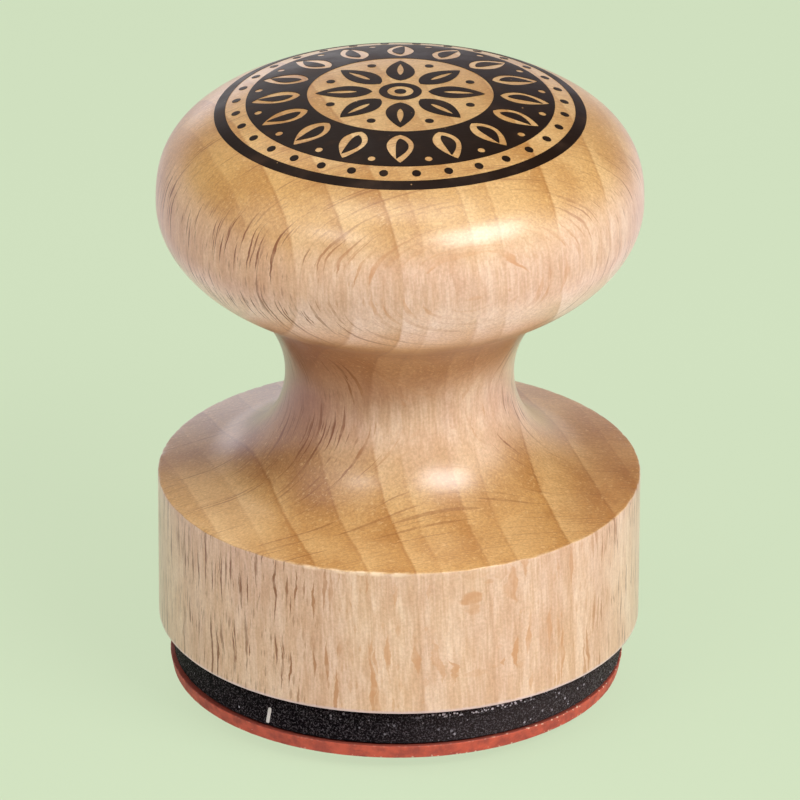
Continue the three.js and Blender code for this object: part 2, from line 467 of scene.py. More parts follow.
# %% [markdown]
# ## The handle's outline
#
# A turner works along the blank with a gouge: an upright side, a rim, a sloping face, a hollow up
# into the neck, a tighter hollow out of it, and the knob. Each stretch is an arc or a formula, and
# each leaves the one before it in a smooth line. The same formulas made the measured model. Here
# they have about four times as many points, so that no facet shows in the lacquer, and the rim and
# the foot are a little sharper, as the tool left them.

# %% Size the handle
BASE_HEIGHT = 12.75
FOOT_CHAMFER = 0.12
RIM_ROUND = 0.14
FACE_SLOPE = 11.0
LOWER_HOLLOW = 8.5
NECK_RADIUS = 9.45
THROAT_FLARE = 4.7
KNOB_RADIUS = 20.0
KNOB_UNDER = 10.65
KNOB_CROWN = 9.55
CROWN_FULLNESS = 2.65

slope = math.radians(FACE_SLOPE)
face_end = NECK_RADIUS + LOWER_HOLLOW * (1 - math.sin(slope))
waist = BASE_HEIGHT + (BASE_RADIUS - face_end) * math.tan(slope) + LOWER_HOLLOW * math.cos(slope)
under_angle = math.acos((NECK_RADIUS + THROAT_FLARE) / KNOB_RADIUS)
throat_turn = math.pi / 2 - math.atan(KNOB_UNDER / (KNOB_RADIUS * math.tan(under_angle)))
upper_hollow = THROAT_FLARE / (1 - math.cos(throat_turn))
equator = waist + upper_hollow * math.sin(throat_turn) + KNOB_UNDER * math.sin(under_angle)
print("waist", round(waist, 2), "and equator", round(equator, 2), "mm above the foot")

# %% Draw the handle's outline
HANDLE_STEP = 0.35  # longest stretch between two rings
EDGE_STEPS = 6
LOWER_HOLLOW_STEPS = 40
UPPER_HOLLOW_STEPS = 28
UNDER_STEPS = 40
CROWN_STEPS = 60


def crown_height(radius):
    """Height of the dome above the table, at a distance from the axis."""
    rise = (1 - (radius / KNOB_RADIUS) ** CROWN_FULLNESS) ** (1 / CROWN_FULLNESS)
    return HANDLE_LOW + equator + KNOB_CROWN * rise


def handle_profile():
    rim_turn = 90 - FACE_SLOPE
    rim_height = BASE_HEIGHT - RIM_ROUND * math.tan(math.radians(rim_turn / 2))
    rim = arc((BASE_RADIUS - RIM_ROUND, rim_height), RIM_ROUND, 0, rim_turn, EDGE_STEPS)
    centre = (NECK_RADIUS + LOWER_HOLLOW, waist)
    lower = arc(centre, LOWER_HOLLOW, 270 - FACE_SLOPE, 180, LOWER_HOLLOW_STEPS)
    centre = (NECK_RADIUS + upper_hollow, waist)
    upper = arc(centre, upper_hollow, 180, 180 - math.degrees(throat_turn), UPPER_HOLLOW_STEPS)
    under, crown = [], []
    for i in range(UNDER_STEPS):
        angle = under_angle * (1 - i / UNDER_STEPS)
        under.append((KNOB_RADIUS * math.cos(angle), equator - KNOB_UNDER * math.sin(angle)))
    for i in range(CROWN_STEPS + 1):
        angle, power = math.pi / 2 * i / CROWN_STEPS, 2 / CROWN_FULLNESS
        radius = KNOB_RADIUS * math.cos(angle) ** power if i < CROWN_STEPS else 0.0
        crown.append((radius, equator + KNOB_CROWN * math.sin(angle) ** power))
    foot = [(0, 0), (BASE_RADIUS - FOOT_CHAMFER, 0), (BASE_RADIUS, FOOT_CHAMFER)]
    outline = foot + rim + lower + upper[1:-1] + under + crown
    return [(radius, height + HANDLE_LOW) for radius, height in spaced(outline, HANDLE_STEP)]


print("top of the dome", round(crown_height(0), 2), "mm above the table")

# %% [markdown]
# ## Axes of the grain
#
# Wood is a solid material, so its figure is drawn through the whole block and the turned surface
# only cuts it open. Three directions describe it: outward across the growth rings, sideways along
# them, and up with the fibres. In this blank the rings run front to back, turned by 18 degrees, and
# lean a little. Every wood effect below works on a point given along these three directions, and
# its sizes are three numbers in the same order.

# %% Build the grain axes
RING_TURN = math.radians(18)
RING_LEAN = math.radians(2.7)

outward = Vector((math.cos(RING_TURN), math.sin(RING_TURN), math.tan(RING_LEAN)))
along = Vector((-math.sin(RING_LEAN) * math.cos(RING_TURN), -math.sin(RING_LEAN) * math.sin(RING_TURN), 1))
tangent = Vector((-math.sin(RING_TURN), math.cos(RING_TURN), 0))

grain_axes, wiring, inlet, outlet = new_group(
    "Grain axes", [("Vector", "vector")], [("Grain", "vector")]
)
parts = {
    axis: wiring.vector("DOT_PRODUCT", inlet["Vector"], direction.normalized(), out="Value")
    for axis, direction in (("X", outward), ("Y", tangent), ("Z", along))
}
wiring.fill(outlet, {"Grain": wiring.joined(**parts)})
print("grain turned by", round(math.degrees(RING_TURN)), "degrees")

# %% [markdown]
# ## Growth rings
#
# A beech ring starts pale, darkens slowly outward and ends in a thin line, where the next spring
# begins. Across the blank that makes a saw-tooth of tone, not a wave. Real rings are of unequal
# width, because years differ, so their ends are a short list in millimetres from the axis. A colour
# ramp turns the list into the saw-tooth, and soft noise lets every ring sway a little.

# %% Build the growth rings
RING_ENDS = (-18.2, -15.2, -12.3, -8.6, -4.8, -2.7, 1.3, 3.8, 8.9, 14.1, 17.9)
RING_DARKNESS = (0.7, 0.5, 0.9, 0.8, 1.0, 0.5, 0.8, 0.55, 1.0, 0.75, 0.6)
RING_SPAN = 24.0  # the ramp runs from minus to plus this distance
RING_EDGE = 0.07  # width over which a ring's dark end turns pale
LINE_WIDTH = 0.16
RINGS_MEASURED_AT = 19.5  # height above the table of the list above
LINE_STOPS = 31  # a ramp holds 32 stops: one at the start and three for each of ten lines
BROAD_SWAY = (0.07, 0.12, 0.03)  # waves per millimetre
SMALL_SWAY = (0.5, 0.9, 0.12)
SMALL_SHARE = 0.35


def on_ramp(distance):
    return (distance + RING_SPAN) / (2 * RING_SPAN)


tones, lines = [(0.0, 0.2)], [(0.0, 0.0)]
for end, darkness in zip(RING_ENDS, RING_DARKNESS):
    tones += [(on_ramp(end - RING_EDGE), darkness), (on_ramp(end + RING_EDGE), 0.0)]
    lines += [(on_ramp(end - LINE_WIDTH), 0.0), (on_ramp(end), darkness)]
    lines.append((on_ramp(end + LINE_WIDTH / 3), 0.0))

growth_rings, wiring, inlet, outlet = new_group(
    "Growth rings",
    [("Grain", "vector"), ("Wander", "value", 0.5)],
    [("Tone", "value"), ("Line", "value")],
)
broad = wiring.math("SUBTRACT", wiring.noise(inlet["Grain"], BROAD_SWAY, detail=1.0), 0.5)
small = wiring.times(wiring.noise(inlet["Grain"], SMALL_SWAY), SMALL_SHARE)
sway = wiring.math("SUBTRACT", wiring.math("ADD", broad, small), SMALL_SHARE / 2)
sway = wiring.times(sway, inlet["Wander"])
shift = RINGS_MEASURED_AT * math.sin(RING_LEAN)
across = wiring.math("SUBTRACT", wiring.apart(inlet["Grain"])["X"], shift)
across = wiring.math("ADD", across, sway)
place = wiring.math("DIVIDE", wiring.math("ADD", across, RING_SPAN), 2 * RING_SPAN)
tone, line = wiring.ramp(place, tones), wiring.ramp(place, lines[:LINE_STOPS])
wiring.fill(outlet, {"Tone": tone, "Line": line})
print(len(RING_ENDS), "rings, the widest", max(b - a for a, b in zip(RING_ENDS, RING_ENDS[1:])), "mm")

# %% [markdown]
# ## Rays
#
# Beech is known by its rays: thin sheets of dark tissue that run outward across the rings. Each is
# long, a few millimetres tall and a quarter of a millimetre thick. On a side cut square to them they
# show as short upright dashes, on the end grain as fine lines, and on a cut along them as flakes.
# A Voronoi pattern stretched to the height and thickness gives the sheets, and each opens and
# closes again along its length, from a start of its own.

# %% Lay out the rays' sheets
SLOW_WAVE = (0.08, 0.4, 0.35)  # waves per millimetre
QUICK_WAVE = (0.6, 2.5, 2.0)
QUICK_SHARE = 0.22

ray_flecks, wiring, inlet, outlet = new_group(
    "Ray flecks",
    [
        ("Grain", "vector"),
        ("Length", "value", 40.0),
        ("Thickness", "value", 0.5),
        ("Height", "value", 6.0),
        ("Kept", "value", 0.7),
        ("Waviness", "value", 0.3),
    ],
    [("Mask", "value")],
)
slow = wiring.math("SUBTRACT", wiring.noise(inlet["Grain"], SLOW_WAVE, detail=1.0), 0.5)
quick = wiring.math("SUBTRACT", wiring.noise(inlet["Grain"], QUICK_WAVE), 0.5)
wave = wiring.math("ADD", slow, wiring.times(quick, QUICK_SHARE))
wave = wiring.times(wave, inlet["Waviness"])
parts = wiring.apart(inlet["Grain"])
across = wiring.math("DIVIDE", wiring.math("ADD", parts["Y"], wave), inlet["Thickness"])
upward = wiring.math("DIVIDE", parts["Z"], inlet["Height"])
sheets = {"Vector": wiring.joined(X=across, Y=upward), "Scale": 1.0}
cells = wiring.add("ShaderNodeTexVoronoi", sheets, distance="MANHATTAN", voronoi_dimensions="2D")
drawn = wiring.add("ShaderNodeSeparateColor", {"Color": cells.outputs["Color"]}).outputs
print("sheets of rays laid out")

# %% Open and close each ray
STARTS = 7.0  # the rays start within so many lengths of each other
CLOSED, OPEN = 0.08, 0.3  # shares of half a length between which a ray opens
FLECK_EDGE = 0.36  # a middling ray ends at this share of its cell
SMALLEST = 0.4  # size of the smallest ray, where the largest has 1.4
SOFT_EDGE = 0.7  # share of a ray's width at which it begins to fade
PATCHES = (0.8, 2.0, 0.9)
LEAST, WEAKEST = 0.5, 0.55  # darkness between patches, and of the palest ray

travel = wiring.math("DIVIDE", parts["X"], inlet["Length"])
travel = wiring.math("ADD", travel, wiring.times(drawn["Red"], STARTS))
open_share = wiring.fade(wiring.math("PINGPONG", travel, 0.5), CLOSED, OPEN)
size = wiring.times(wiring.math("ADD", drawn["Blue"], SMALLEST), open_share)
edge = wiring.math("MAXIMUM", wiring.times(FLECK_EDGE, size), 0.001)
shape = wiring.fade(cells.outputs["Distance"], wiring.times(edge, SOFT_EDGE), edge, 1.0, 0.0)
patchy = wiring.noise(inlet["Grain"], PATCHES)
shape = wiring.times(shape, wiring.fade(patchy, 0.3, 0.55, LEAST, 1.0))
kept = wiring.math("LESS_THAN", drawn["Green"], inlet["Kept"])
most = wiring.math("MAXIMUM", inlet["Kept"], 0.01)
darkness = wiring.fade(drawn["Green"], 0, most, 1.0, WEAKEST)
wiring.fill(outlet, {"Mask": wiring.times(wiring.times(shape, kept), darkness)})
print("rays built")

# %% [markdown]
# ## Edges and specks
#
# Two small effects come back on several pieces. A cut or turned edge is a band round a circle at
# a known radius and height, where lacquer thins or a cutter leaves crumbs. Specks are sparse dots:
# bright cell walls in the foam, dust on the rubber, pinholes in the ink. Each is a group with its
# own sizes as inputs, so that every material sets its own.

# %% Build the edge band
edge_band, wiring, inlet, outlet = new_group(
    "Edge band",
    [("Vector", "vector"), ("Radius", "value", 20.0), ("Height", "value", 0.0), ("Width", "value", 0.4)],
    [("Mask", "value")],
)
parts = wiring.apart(inlet["Vector"])
outward_by = wiring.math("SUBTRACT", wiring.distance(parts["X"], parts["Y"]), inlet["Radius"])
upward_by = wiring.math("SUBTRACT", parts["Z"], inlet["Height"])
away = wiring.math("DIVIDE", wiring.distance(outward_by, upward_by), inlet["Width"])
ragged = wiring.math("SUBTRACT", wiring.noise(inlet["Vector"], scale=1.6, detail=3.0), 0.5)
away = wiring.math("ADD", away, ragged)
wiring.fill(outlet, {"Mask": wiring.fade(away, 0.3, 1.0, start=1.0, end=0.0)})


def band(wiring, point, radius, height, width):
    sizes = {"Vector": point, "Radius": radius, "Height": height, "Width": width}
    return wiring.place(edge_band, sizes)["Mask"]


print("edge band built")

# %% Build the specks
specks, wiring, inlet, outlet = new_group(
    "Specks",
    [("Vector", "vector"), ("Spacing", "value", 0.5), ("Kept", "value", 0.3), ("Size", "value", 0.3)],
    [("Mask", "value"), ("Shade", "value")],
)
spread = wiring.scaled(inlet["Vector"], wiring.math("DIVIDE", 1.0, inlet["Spacing"]))
cells = wiring.add("ShaderNodeTexVoronoi", {"Vector": spread, "Scale": 1.0})
drawn = wiring.add("ShaderNodeSeparateColor", {"Color": cells.outputs["Color"]}).outputs
size = wiring.times(inlet["Size"], wiring.math("ADD", drawn["Blue"], 0.5))
inside = wiring.fade(cells.outputs["Distance"], wiring.times(size, 0.6), size, 1.0, 0.0)
kept = wiring.math("LESS_THAN", drawn["Red"], inlet["Kept"])
wiring.fill(outlet, {"Mask": wiring.times(inside, kept), "Shade": drawn["Green"]})


def speckled(wiring, point, spacing, kept, size):
    sizes = {"Vector": point, "Spacing": spacing, "Kept": kept, "Size": size}
    return wiring.place(specks, sizes)


print("specks built")

# %% [markdown]
# ## Beech, cut along and across
#
# Steamed beech is pinkish beige where the cut follows the fibres. Where the cut crosses them, as on
# the dome and on the base's upper face, the open ends drink lacquer and turn golden brown. So the
# colour is chosen by how far the surface faces along the grain. A picture of wood wrapped round the
# handle couldn't do that, because it doesn't know which way the fibres run.

# %% Colour the beech by its cut
SIDE_PALE = srgb(241, 214, 184)
SIDE_PINK = srgb(232, 200, 172)
END_GOLD = srgb(222, 184, 126)
END_BROWN = srgb(204, 160, 100)
END_PALE_AND_SHEEN = srgb(234, 200, 144)
CLOUDS = (0.2, 0.2, 0.08)  # waves per millimetre
MIDDLE = (0.35, 0.65)  # levels of a noise between which one tone turns into the other

beech, wiring, shader, coordinates = new_material("beech")
place_mm = in_mm(wiring, coordinates)
grain = wiring.place(grain_axes, {"Vector": place_mm})["Grain"]
facing = wiring.place(grain_axes, {"Vector": coordinates["Normal"]})["Grain"]
facing_up = wiring.apart(facing)["Z"]
facing = wiring.apart(wiring.vector("ABSOLUTE", facing))
end_grain = wiring.fade(facing["Z"], 0.08, 0.78)  # 0 on a cut along the fibres, 1 on one across
ray_cut = wiring.fade(facing["Y"], 0.62, 0.95)  # 1 where the surface runs along the rays
cloudy = wiring.fade(wiring.noise(grain, CLOUDS, detail=3.0), *MIDDLE)
side = wiring.mix(cloudy, SIDE_PALE, SIDE_PINK)
end = wiring.mix(cloudy, END_GOLD, END_BROWN)
colour = wiring.mix(end_grain, side, end)
print("beech coloured by its cut")

# %% [markdown]
# ## Tones, painted shade and painted light over the blank
#
# No blank is of one tone all over. This one is more golden on the left of the knob. Shade is
# painted on as a reddish glaze in the throat under the knob, on the left of the neck and at the
# right end of the face, and the knob's shadow as a duller glaze at the back of the face's left.
# Light is painted on as a paler sheen at the front of the face's left and as pale wood under the
# knob, lit from below. Each stretch is a soft mask, in millimetres to the right, to the back,
# upwards or from the axis, and a thin glaze or a paler tone is laid on where it is open.

# %% Tint the beech by place, with painted shade and light
THROAT_PAINTED_SHADE = srgb(220, 198, 180)
REDDISH_PAINTED_SHADE = srgb(226, 208, 190)
GOLD_TINT = srgb(255, 248, 230)
FACE_TINT = srgb(252, 248, 242)
KNOB_SHADOW_GLAZE = srgb(224, 208, 200)
UNDER_PAINTED_LIGHT = srgb(255, 228, 206)
WAIST, EQUATOR = HANDLE_LOW + waist, HANDLE_LOW + equator
FACE_UP = (0.5, 0.95)  # how far a surface faces up before it counts as the base's face
THROAT_LEAN = -0.4  # for each millimetre to the right, the throat's painted shade starts so much higher
THROAT_RISE, THROAT_REACH = (WAIST - 1.5, WAIST + 3), (16, 19)
NECK_SHADE_SIDE, NECK_SHADE_REACH = (-3.5, -8), (12, 15)
FACE_SHADE_SIDE, GOLD_SIDE, LEFT_SIDE = (13, 18), (-4, -10), (-7, -13)
DIM_DEPTH, PALE_DEPTH, PALE_SHARE = (-5, 3), (-3, -8), 0.4
UNDER_FACING, UNDER_REACH = (0, -0.45), (16, 18.5)

sides = wiring.apart(place_mm)
rightward, backward = sides["X"], sides["Y"]
radius = wiring.distance(rightward, backward)
below_knob = wiring.fade(sides["Z"], EQUATOR - 8, EQUATOR - 4, 1, 0)
facing_flat = wiring.fade(facing_up, *FACE_UP)

# Painted shade: a reddish glaze in the throat, under the knob.
leaning = wiring.math("ADD", sides["Z"], wiring.times(rightward, THROAT_LEAN))
throat_shade = wiring.times(wiring.fade(leaning, *THROAT_RISE), below_knob)
throat_shade = wiring.times(throat_shade, wiring.fade(radius, *THROAT_REACH, 1, 0))
colour = wiring.glazed(throat_shade, colour, THROAT_PAINTED_SHADE)
# Painted shade: a reddish glaze on the left of the neck and at the right end of the face.
neck_left_shade = wiring.times(wiring.fade(rightward, *NECK_SHADE_SIDE), wiring.fade(radius, *NECK_SHADE_REACH, 1, 0))
face_right_shade = wiring.times(wiring.fade(rightward, *FACE_SHADE_SIDE), facing_flat)
painted_red_shade = wiring.times(wiring.math("MAXIMUM", neck_left_shade, face_right_shade), below_knob)
colour = wiring.glazed(painted_red_shade, colour, REDDISH_PAINTED_SHADE)
golden = wiring.math("SUBTRACT", wiring.fade(rightward, *GOLD_SIDE), below_knob, clamp=True)
colour = wiring.glazed(golden, colour, GOLD_TINT)

on_face = wiring.times(facing_flat, below_knob)
colour = wiring.glazed(on_face, colour, FACE_TINT)
on_left = wiring.times(on_face, wiring.fade(rightward, *LEFT_SIDE))
# Painted shadow of the knob: a duller glaze at the back of the face's left.
knob_shadow = wiring.times(on_left, wiring.fade(backward, *DIM_DEPTH))
colour = wiring.glazed(knob_shadow, colour, KNOB_SHADOW_GLAZE)
# Painted sheen: a paler tone at the front of the face's left.
pale = wiring.times(on_left, wiring.fade(backward, *PALE_DEPTH, 0, PALE_SHARE))
colour = wiring.mix(pale, colour, END_PALE_AND_SHEEN)
# Painted light from below: pale wood under the knob, facing down.
under = wiring.times(wiring.fade(facing_up, *UNDER_FACING), wiring.fade(radius, *UNDER_REACH))
colour = wiring.mix(under, colour, UNDER_PAINTED_LIGHT)
print("beech tinted from waist", round(WAIST, 1), "to equator", round(EQUATOR, 1))

# %% [markdown]
# ## Rings, fibres and pores
#
# The growth rings show on any cut, and most clearly across the fibres. Between them a cut along the
# fibres shows fine strands and broader bundles, and a cut across shows pores and pale open ends. They
# are noises along the grain's axes, long where fibres are long, and each is shown only on its cut.

# %% Lay on the rings, the fibres and the pores
LATE_TINT = srgb(228, 210, 178)
LINE_TINT = srgb(205, 172, 132)
STRAND_TINT = srgb(242, 233, 226)
BUNDLE_TINT = srgb(243, 233, 221)
PORE_TINT = srgb(228, 218, 206)
CLEAR, BRIGHTER = (1, 1, 1, 1), (1.06, 1.06, 1.06, 1)
STRANDS = (5.2, 5.2, 0.45)  # waves per millimetre
BUNDLES = (1.1, 1.1, 0.2)
PORES = (4.2, 5.6, 4.2)
OPEN_ENDS = (2.8, 4.0, 3.2)
RING_SWAY = 0.7

rings = wiring.place(growth_rings, {"Grain": grain, "Wander": RING_SWAY})
late = wiring.times(rings["Tone"], wiring.fade(end_grain, 0, 1, 0.35, 1.0))
colour = wiring.glazed(late, colour, LATE_TINT)
line = wiring.times(rings["Line"], wiring.fade(end_grain, 0, 1, 0.2, 0.6))
colour = wiring.glazed(line, colour, LINE_TINT)

strands = wiring.noise(grain, STRANDS, detail=3.0, roughness=0.6)
bundles = wiring.noise(grain, BUNDLES, roughness=0.6)
streaks = wiring.mix(wiring.fade(strands, *MIDDLE), STRAND_TINT, CLEAR)
bands = wiring.mix(wiring.fade(bundles, *MIDDLE), BUNDLE_TINT, CLEAR)
side_grain = wiring.math("SUBTRACT", 1.0, end_grain)
colour = wiring.glazed(side_grain, colour, wiring.glazed(1.0, streaks, bands))

pores = wiring.noise(grain, PORES, detail=3.0, roughness=0.7)
speckle = wiring.mix(wiring.fade(pores, 0.32, 0.68), PORE_TINT, BRIGHTER)
colour = wiring.glazed(wiring.fade(end_grain, 0, 1, 0.5, 0.9), colour, speckle)
open_ends = wiring.fade(wiring.noise(grain, OPEN_ENDS, roughness=0.8), 0.55, 0.72)
open_ends = wiring.times(open_ends, wiring.fade(end_grain, 0, 1, 0.1, 0.45))
colour = wiring.mix(open_ends, colour, END_PALE_AND_SHEEN)
print("rings, fibres and pores laid on")

# %% [markdown]
# ## Rays in the beech
#
# Rays of three sizes lie over each other: a few broad ones, some of a middling size and many fine
# ones. On the side they are brown dashes, clearest on the left. Where the cut runs along them they
# turn into paler amber flakes, and on end grain they weaken to fine lines.

# %% Lay on the rays
RAY_BROWN = srgb(136, 80, 30)
RAY_AMBER = srgb(200, 140, 84)
RAY_INPUTS = ("Length", "Thickness", "Height", "Kept", "Waviness")
RAY_SIZES = (
    # values in the order of the inputs, and last how strongly this size shows
    (18.0, 0.3, 7.6, 0.5, 0.6, 1.0),
    (12.0, 0.28, 5.0, 0.52, 0.4, 0.95),
    (8.0, 0.22, 1.7, 0.6, 0.12, 0.42),
)
ON_END_GRAIN = 0.48
CLEARER_SIDE, CLEARER = (3, -9), 1.35
FLAKES = (0.78, 0.35)  # strength of the flakes on side grain, and where end grain begins

rays = 0.0
for *values, strength in RAY_SIZES:
    inputs = dict(zip(RAY_INPUTS, values), Grain=grain)
    mask = wiring.place(ray_flecks, inputs)["Mask"]
    rays = wiring.math("MAXIMUM", rays, wiring.times(mask, strength))
rays = wiring.times(wiring.fade(end_grain, 0.4, 1, 1, ON_END_GRAIN), rays)
rays = wiring.times(rays, wiring.fade(rightward, *CLEARER_SIDE, 1, CLEARER), clamp=True)
flakes = wiring.fade(end_grain, 0, 0.3, *FLAKES)
rays = wiring.times(rays, wiring.fade(ray_cut, 0, 1, 1, flakes))
colour = wiring.mix(rays, colour, wiring.mix(ray_cut, RAY_BROWN, RAY_AMBER))
print(len(RAY_SIZES), "sizes of rays laid on")

# %% [markdown]
# ## Edges with wear and painted light, under clear lacquer
#
# Lacquer draws back from a sharp edge, and edges get knocked. So the rim has a pale, broken line for
# a short stretch at the front, which is wear and a painted highlight, and the foot has a faint pale
# line all round, which is a painted reflection of the floor. Over the wood lies the lacquer: a thin
# coat that shines without being a mirror, over a duller base. The rays sink a little as the wood
# dries, and the fibres and pores stand up, which one shallow bump shows.

# %% Paint wear and a highlight on the rim, and a reflection on the foot
RIM_WEAR_AND_HIGHLIGHT = srgb(246, 220, 182)
FOOT_PAINTED_REFLECTION = srgb(232, 206, 200)
RIM_HEIGHT = HANDLE_LOW + BASE_HEIGHT
RIM_IN, RIM_DOWN, RIM_WIDTH = 0.08, 0.1, 0.26
FOOT_IN, FOOT_UP, FOOT_WIDTH = 0.05, 0.05, 0.28
FOOT_SHARE = 0.8
WORN_SIDE = -3.5  # middle of the stretch of wear and painted highlight
WORN_REACH, LEAST_WORN = (3, 7), 0.08

# The rim's pale broken line is wear and a painted highlight.
rim = band(wiring, place_mm, BASE_RADIUS - RIM_IN, RIM_HEIGHT - RIM_DOWN, RIM_WIDTH)
worn = wiring.fade(wiring.noise(place_mm, 0.9, detail=3.0), 0.4, 0.6, 0.15, 0.8)
off_middle = wiring.math("ABSOLUTE", wiring.math("SUBTRACT", rightward, WORN_SIDE))
worn = wiring.times(worn, wiring.fade(off_middle, *WORN_REACH, 1, LEAST_WORN))
colour = wiring.mix(wiring.times(rim, worn), colour, RIM_WEAR_AND_HIGHLIGHT)
# Painted reflection of the floor: a faint pale line round the foot.
foot = band(wiring, place_mm, BASE_RADIUS - FOOT_IN, HANDLE_LOW + FOOT_UP, FOOT_WIDTH)
colour = wiring.mix(wiring.times(foot, FOOT_SHARE), colour, FOOT_PAINTED_REFLECTION)
print("rim and foot worn")

# %% Lacquer the beech
gloss = wiring.math("ADD", wiring.fade(strands, 0.2, 0.8, 0.42, 0.52), wiring.times(rays, 0.12))
relief = wiring.math("ADD", wiring.times(rays, -0.7), wiring.times(strands, 0.25))
relief = wiring.math("ADD", relief, wiring.times(pores, 0.1))
lacquered = {
    "Base Color": colour,
    "Roughness": gloss,
    "Specular IOR Level": 0.4,
    "Coat Weight": 0.9,
    "Coat Roughness": 0.29,
    "Coat IOR": 1.58,
    "Sheen Weight": 0.08,
    "Sheen Roughness": 0.4,
    "Sheen Tint": (1.0, 0.78, 0.84, 1.0),
    "Normal": wiring.bump(relief, strength=0.4, depth=0.02),
}
wiring.fill(shader, lacquered)
print("beech lacquered")

# %% [markdown]
# ## The handle
#
# The turned mesh takes the measured handle's place. A turned rim is never a perfect circle: it is
# knocked a little, and the wood breaks out where a ray meets it. So the points of the rim are nudged
# inward, by up to two tenths of a millimetre at the front and much less at the back, and the rest
# stays true.

# %% Turn the handle
HANDLE_SEGMENTS = 288
EDGE_WOBBLE = 0.2  # at the front, which is knocked the most
BACK_WOBBLE = 0.04
WOBBLE_HEIGHT = 0.5  # above and below the rim, over which the wobble dies away
WOBBLE_DEPTH = 0.6  # and in from the rim, over which there is any


def worn_edge(point):
    """Moves points near the rim inward by a little, unevenly."""
    above = abs(point.z - (HANDLE_LOW + BASE_HEIGHT - RIM_ROUND))
    radius = math.hypot(point.x, point.y)
    if above > WOBBLE_HEIGHT or radius < BASE_RADIUS - WOBBLE_DEPTH:
        return point
    rough = 0.4 * noise.noise(Vector((point.x, point.y, 0)) * 0.9) + noise.noise(point * 2.7)
    frontness = 0.5 - 0.5 * point.y / radius
    most = BACK_WOBBLE + (EDGE_WOBBLE - BACK_WOBBLE) * frontness
    inward = most * max(0.0, rough) * (1 - above / WOBBLE_HEIGHT)
    return drawn_in(point, inward, down=inward)


handle_mesh = turned_mesh("handle", handle_profile(), HANDLE_SEGMENTS, worn_edge)
handle = finish_piece("beech_handle", handle_mesh, beech)
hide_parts("turned_handle")
print("handle has", len(handle_mesh.polygons), "faces")

# %% [markdown]
# ## The rosette
#
# The same round ornament is engraved in the die and printed on the knob: a border, a ring of beads,
# a dark garland pierced by sixteen leaves, and a flower of eight petals. It is a plain traditional
# layout. Its outlines are made by loops in shares of the rosette's radius, and a flat curve that
# fills between them gives the solid areas, with every opening left open.

# %% Draw the rosette's outlines
BARE_MARGIN = 3.7
ROSETTE_RADIUS = DIE_RADIUS - BARE_MARGIN
LEAF_BELLY = 0.8
LEAF_BLUNT = 0.85
CIRCLES = (1.0, 0.94, 0.83, 0.5, 0.115, 0.07)  # border, garland and heart, outside and inside
BEADS, LEAVES, PETALS = 32, 16, 8


def turned_point(out, across, angle):
    x = out * math.cos(angle) - across * math.sin(angle)
    y = out * math.sin(angle) + across * math.cos(angle)
    return Vector((x, y, 0)) * ROSETTE_RADIUS


def dot(at, radius, angle=0.0, steps=20):
    turns = [2 * math.pi * i / steps for i in range(steps)]
    return [turned_point(at + radius * math.cos(t), radius * math.sin(t), angle) for t in turns]


def leaf(start, end, half_width, angle, bend=0.0, steps=18):
    """A leaf that points outwards; its bend curls it like a comma."""

    def edge(sign, share):
        width = half_width * math.sin(math.pi * share**LEAF_BELLY) ** LEAF_BLUNT
        curl = bend * (math.sin(math.pi * share) - share)
        return turned_point(start + (end - start) * share, sign * width + curl, angle)

    outwards = [edge(-1, i / steps) for i in range(steps)]
    inwards = [edge(1, 1 - i / steps) for i in range(steps)]
    return outwards + inwards


def rosette_outlines():
    full = 2 * math.pi
    outlines = [dot(0, radius, steps=180 if radius > 0.4 else 48) for radius in CIRCLES]
    outlines.append(dot(0, 0.032))
    outlines += [dot(0.885, 0.024, full * (i + 0.5) / BEADS) for i in range(BEADS)]
    for i in range(LEAVES):
        angle = full * i / LEAVES
        outlines.append(leaf(0.535, 0.8, 0.072, angle))
        outlines.append(leaf(0.575, 0.765, 0.034, angle, bend=0.02))
        outlines.append(dot(0.775, 0.02, angle + full / LEAVES / 2))
    for i in range(PETALS):
        angle = full * i / PETALS
        outlines.append(leaf(0.15, 0.455, 0.078, angle))
        outlines.append(leaf(0.23, 0.4, 0.017, angle))
        outlines.append(dot(0.405, 0.024, angle + full / PETALS / 2))
    return outlines


outlines = rosette_outlines()
print(len(outlines), "outlines, rosette", round(2 * ROSETTE_RADIUS, 1), "mm across")

# %% Fill outlines


def filled(name, outlines, depth=0.0, rounding=0.0):
    """A mesh that fills outlines given in mm, or a plate of a given depth round height zero."""
    curve = bpy.data.curves.new(name, "CURVE")
    curve.dimensions = "2D"
    curve.fill_mode = "BOTH"
    curve.extrude = (depth / 2 - rounding) * MM if depth else 0.0
    curve.bevel_depth = rounding * MM
    curve.bevel_resolution = 1
    curve.offset = -rounding * MM
    for outline in outlines:
        spline = curve.splines.new("POLY")
        spline.points.add(len(outline) - 1)
        spline.use_cyclic_u = True
        for point, place in zip(spline.points, outline):
            point.co = (place.x * MM, place.y * MM, 0, 1)
    holder = bpy.data.objects.new(name, curve)
    bpy.context.scene.collection.objects.link(holder)
    bpy.context.view_layer.update()
    mesh = bpy.data.meshes.new_from_object(holder.evaluated_get(bpy.context.evaluated_depsgraph_get()))
    bpy.data.objects.remove(holder)
    return mesh


print("outlines can be filled")

# %% [markdown]
# ## Black ink on the dome
#
# The print was pressed on by a soft pad, so it follows the dome as a film of ink a few hundredths
# of a millimetre thick. The flat rosette is cut into half-millimetre squares, so that it can bend,
# and every point is set on the dome's own formula. A second layer closes it into a thin solid.

# %% Mix the ink
INK = srgb(30, 17, 8)
INK_WORN = srgb(62, 44, 32)
WOOD_SHOWING = srgb(188, 146, 104)
INK_STRANDS = (1.0, 5.0, 2.0)  # strands of the wood that print through, per millimetre

